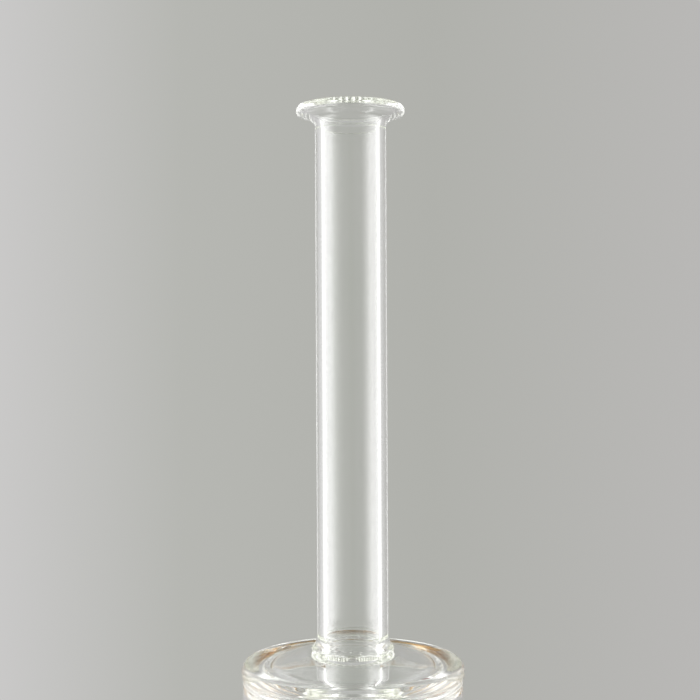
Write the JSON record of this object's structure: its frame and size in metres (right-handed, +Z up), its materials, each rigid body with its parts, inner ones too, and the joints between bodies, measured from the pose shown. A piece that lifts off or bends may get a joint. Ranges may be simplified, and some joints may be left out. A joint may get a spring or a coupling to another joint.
{
  "type": "liebig condenser",
  "caption": "Clear glass water-jacketed straight-tube condenser with a flared mouth, sloped drip tip and screw-on barbed elbow hose connections.",
  "frame": {"origin": "on the vapour path's axis, level with the lowest point of the drip tip", "axes": "+Z up the vapour path towards the mouth, +X along the upper side arm (water outlet), +Y to the back"},
  "size_m": [0.1324, 0.0402, 0.4],
  "materials": {
    "glass": "clear, fire polished",
    "silicone": "matte",
    "white_plastic": "satin",
    "red_plastic": "semi gloss"
  },
  "bodies": {
    "glass_body": {"mouth_lip": "glass", "upper_stem": "glass", "upper_ring_seal": "glass", "upper_shoulder": "glass", "jacket_barrel": "glass", "condensing_tube": "glass", "lower_shoulder": "glass", "lower_ring_seal": "glass", "lower_stem": "glass", "outlet_side_arm": "glass", "inlet_side_arm": "glass"},
    "outlet_seal": {"outlet_seal_ring": "silicone"},
    "outlet_nozzle": {"outlet_hose_nozzle": "white_plastic"},
    "outlet_cap": {"outlet_screw_cap": "red_plastic"},
    "inlet_seal": {"inlet_seal_ring": "silicone"},
    "inlet_nozzle": {"inlet_hose_nozzle": "white_plastic"},
    "inlet_cap": {"inlet_screw_cap": "red_plastic"}
  },
  "joints": [
    {"name": "outlet_unscrew_travel", "type": "slide", "parent": "glass_body", "child": "outlet_seal", "axis": [1, 0, 0], "range_m": [0, 0.0075]},
    {"name": "outlet_cap_turn", "type": "hinge", "parent": "outlet_seal", "child": "outlet_cap", "pos_m": [0.0445, 0, 0.2705], "axis": [1, 0, 0], "range_deg": [0, 1080]},
    {"name": "outlet_nozzle_swivel", "type": "hinge", "parent": "outlet_seal", "child": "outlet_nozzle", "pos_m": [0.049, 0, 0.2705], "axis": [1, 0, 0], "continuous": true},
    {"name": "inlet_unscrew_travel", "type": "slide", "parent": "glass_body", "child": "inlet_seal", "axis": [-1, 0, 0], "range_m": [0, 0.0075]},
    {"name": "inlet_cap_turn", "type": "hinge", "parent": "inlet_seal", "child": "inlet_cap", "pos_m": [-0.0445, 0, 0.1245], "axis": [-1, 0, 0], "range_deg": [0, 1080]},
    {"name": "inlet_nozzle_swivel", "type": "hinge", "parent": "inlet_seal", "child": "inlet_nozzle", "pos_m": [-0.049, 0, 0.1245], "axis": [-1, 0, 0], "continuous": true}
  ],
  "couplings": [
    {"joint": "outlet_cap_turn", "follows": "outlet_unscrew_travel", "rad_per_m": 2513.3},
    {"joint": "inlet_cap_turn", "follows": "inlet_unscrew_travel", "rad_per_m": 2513.3}
  ]
}
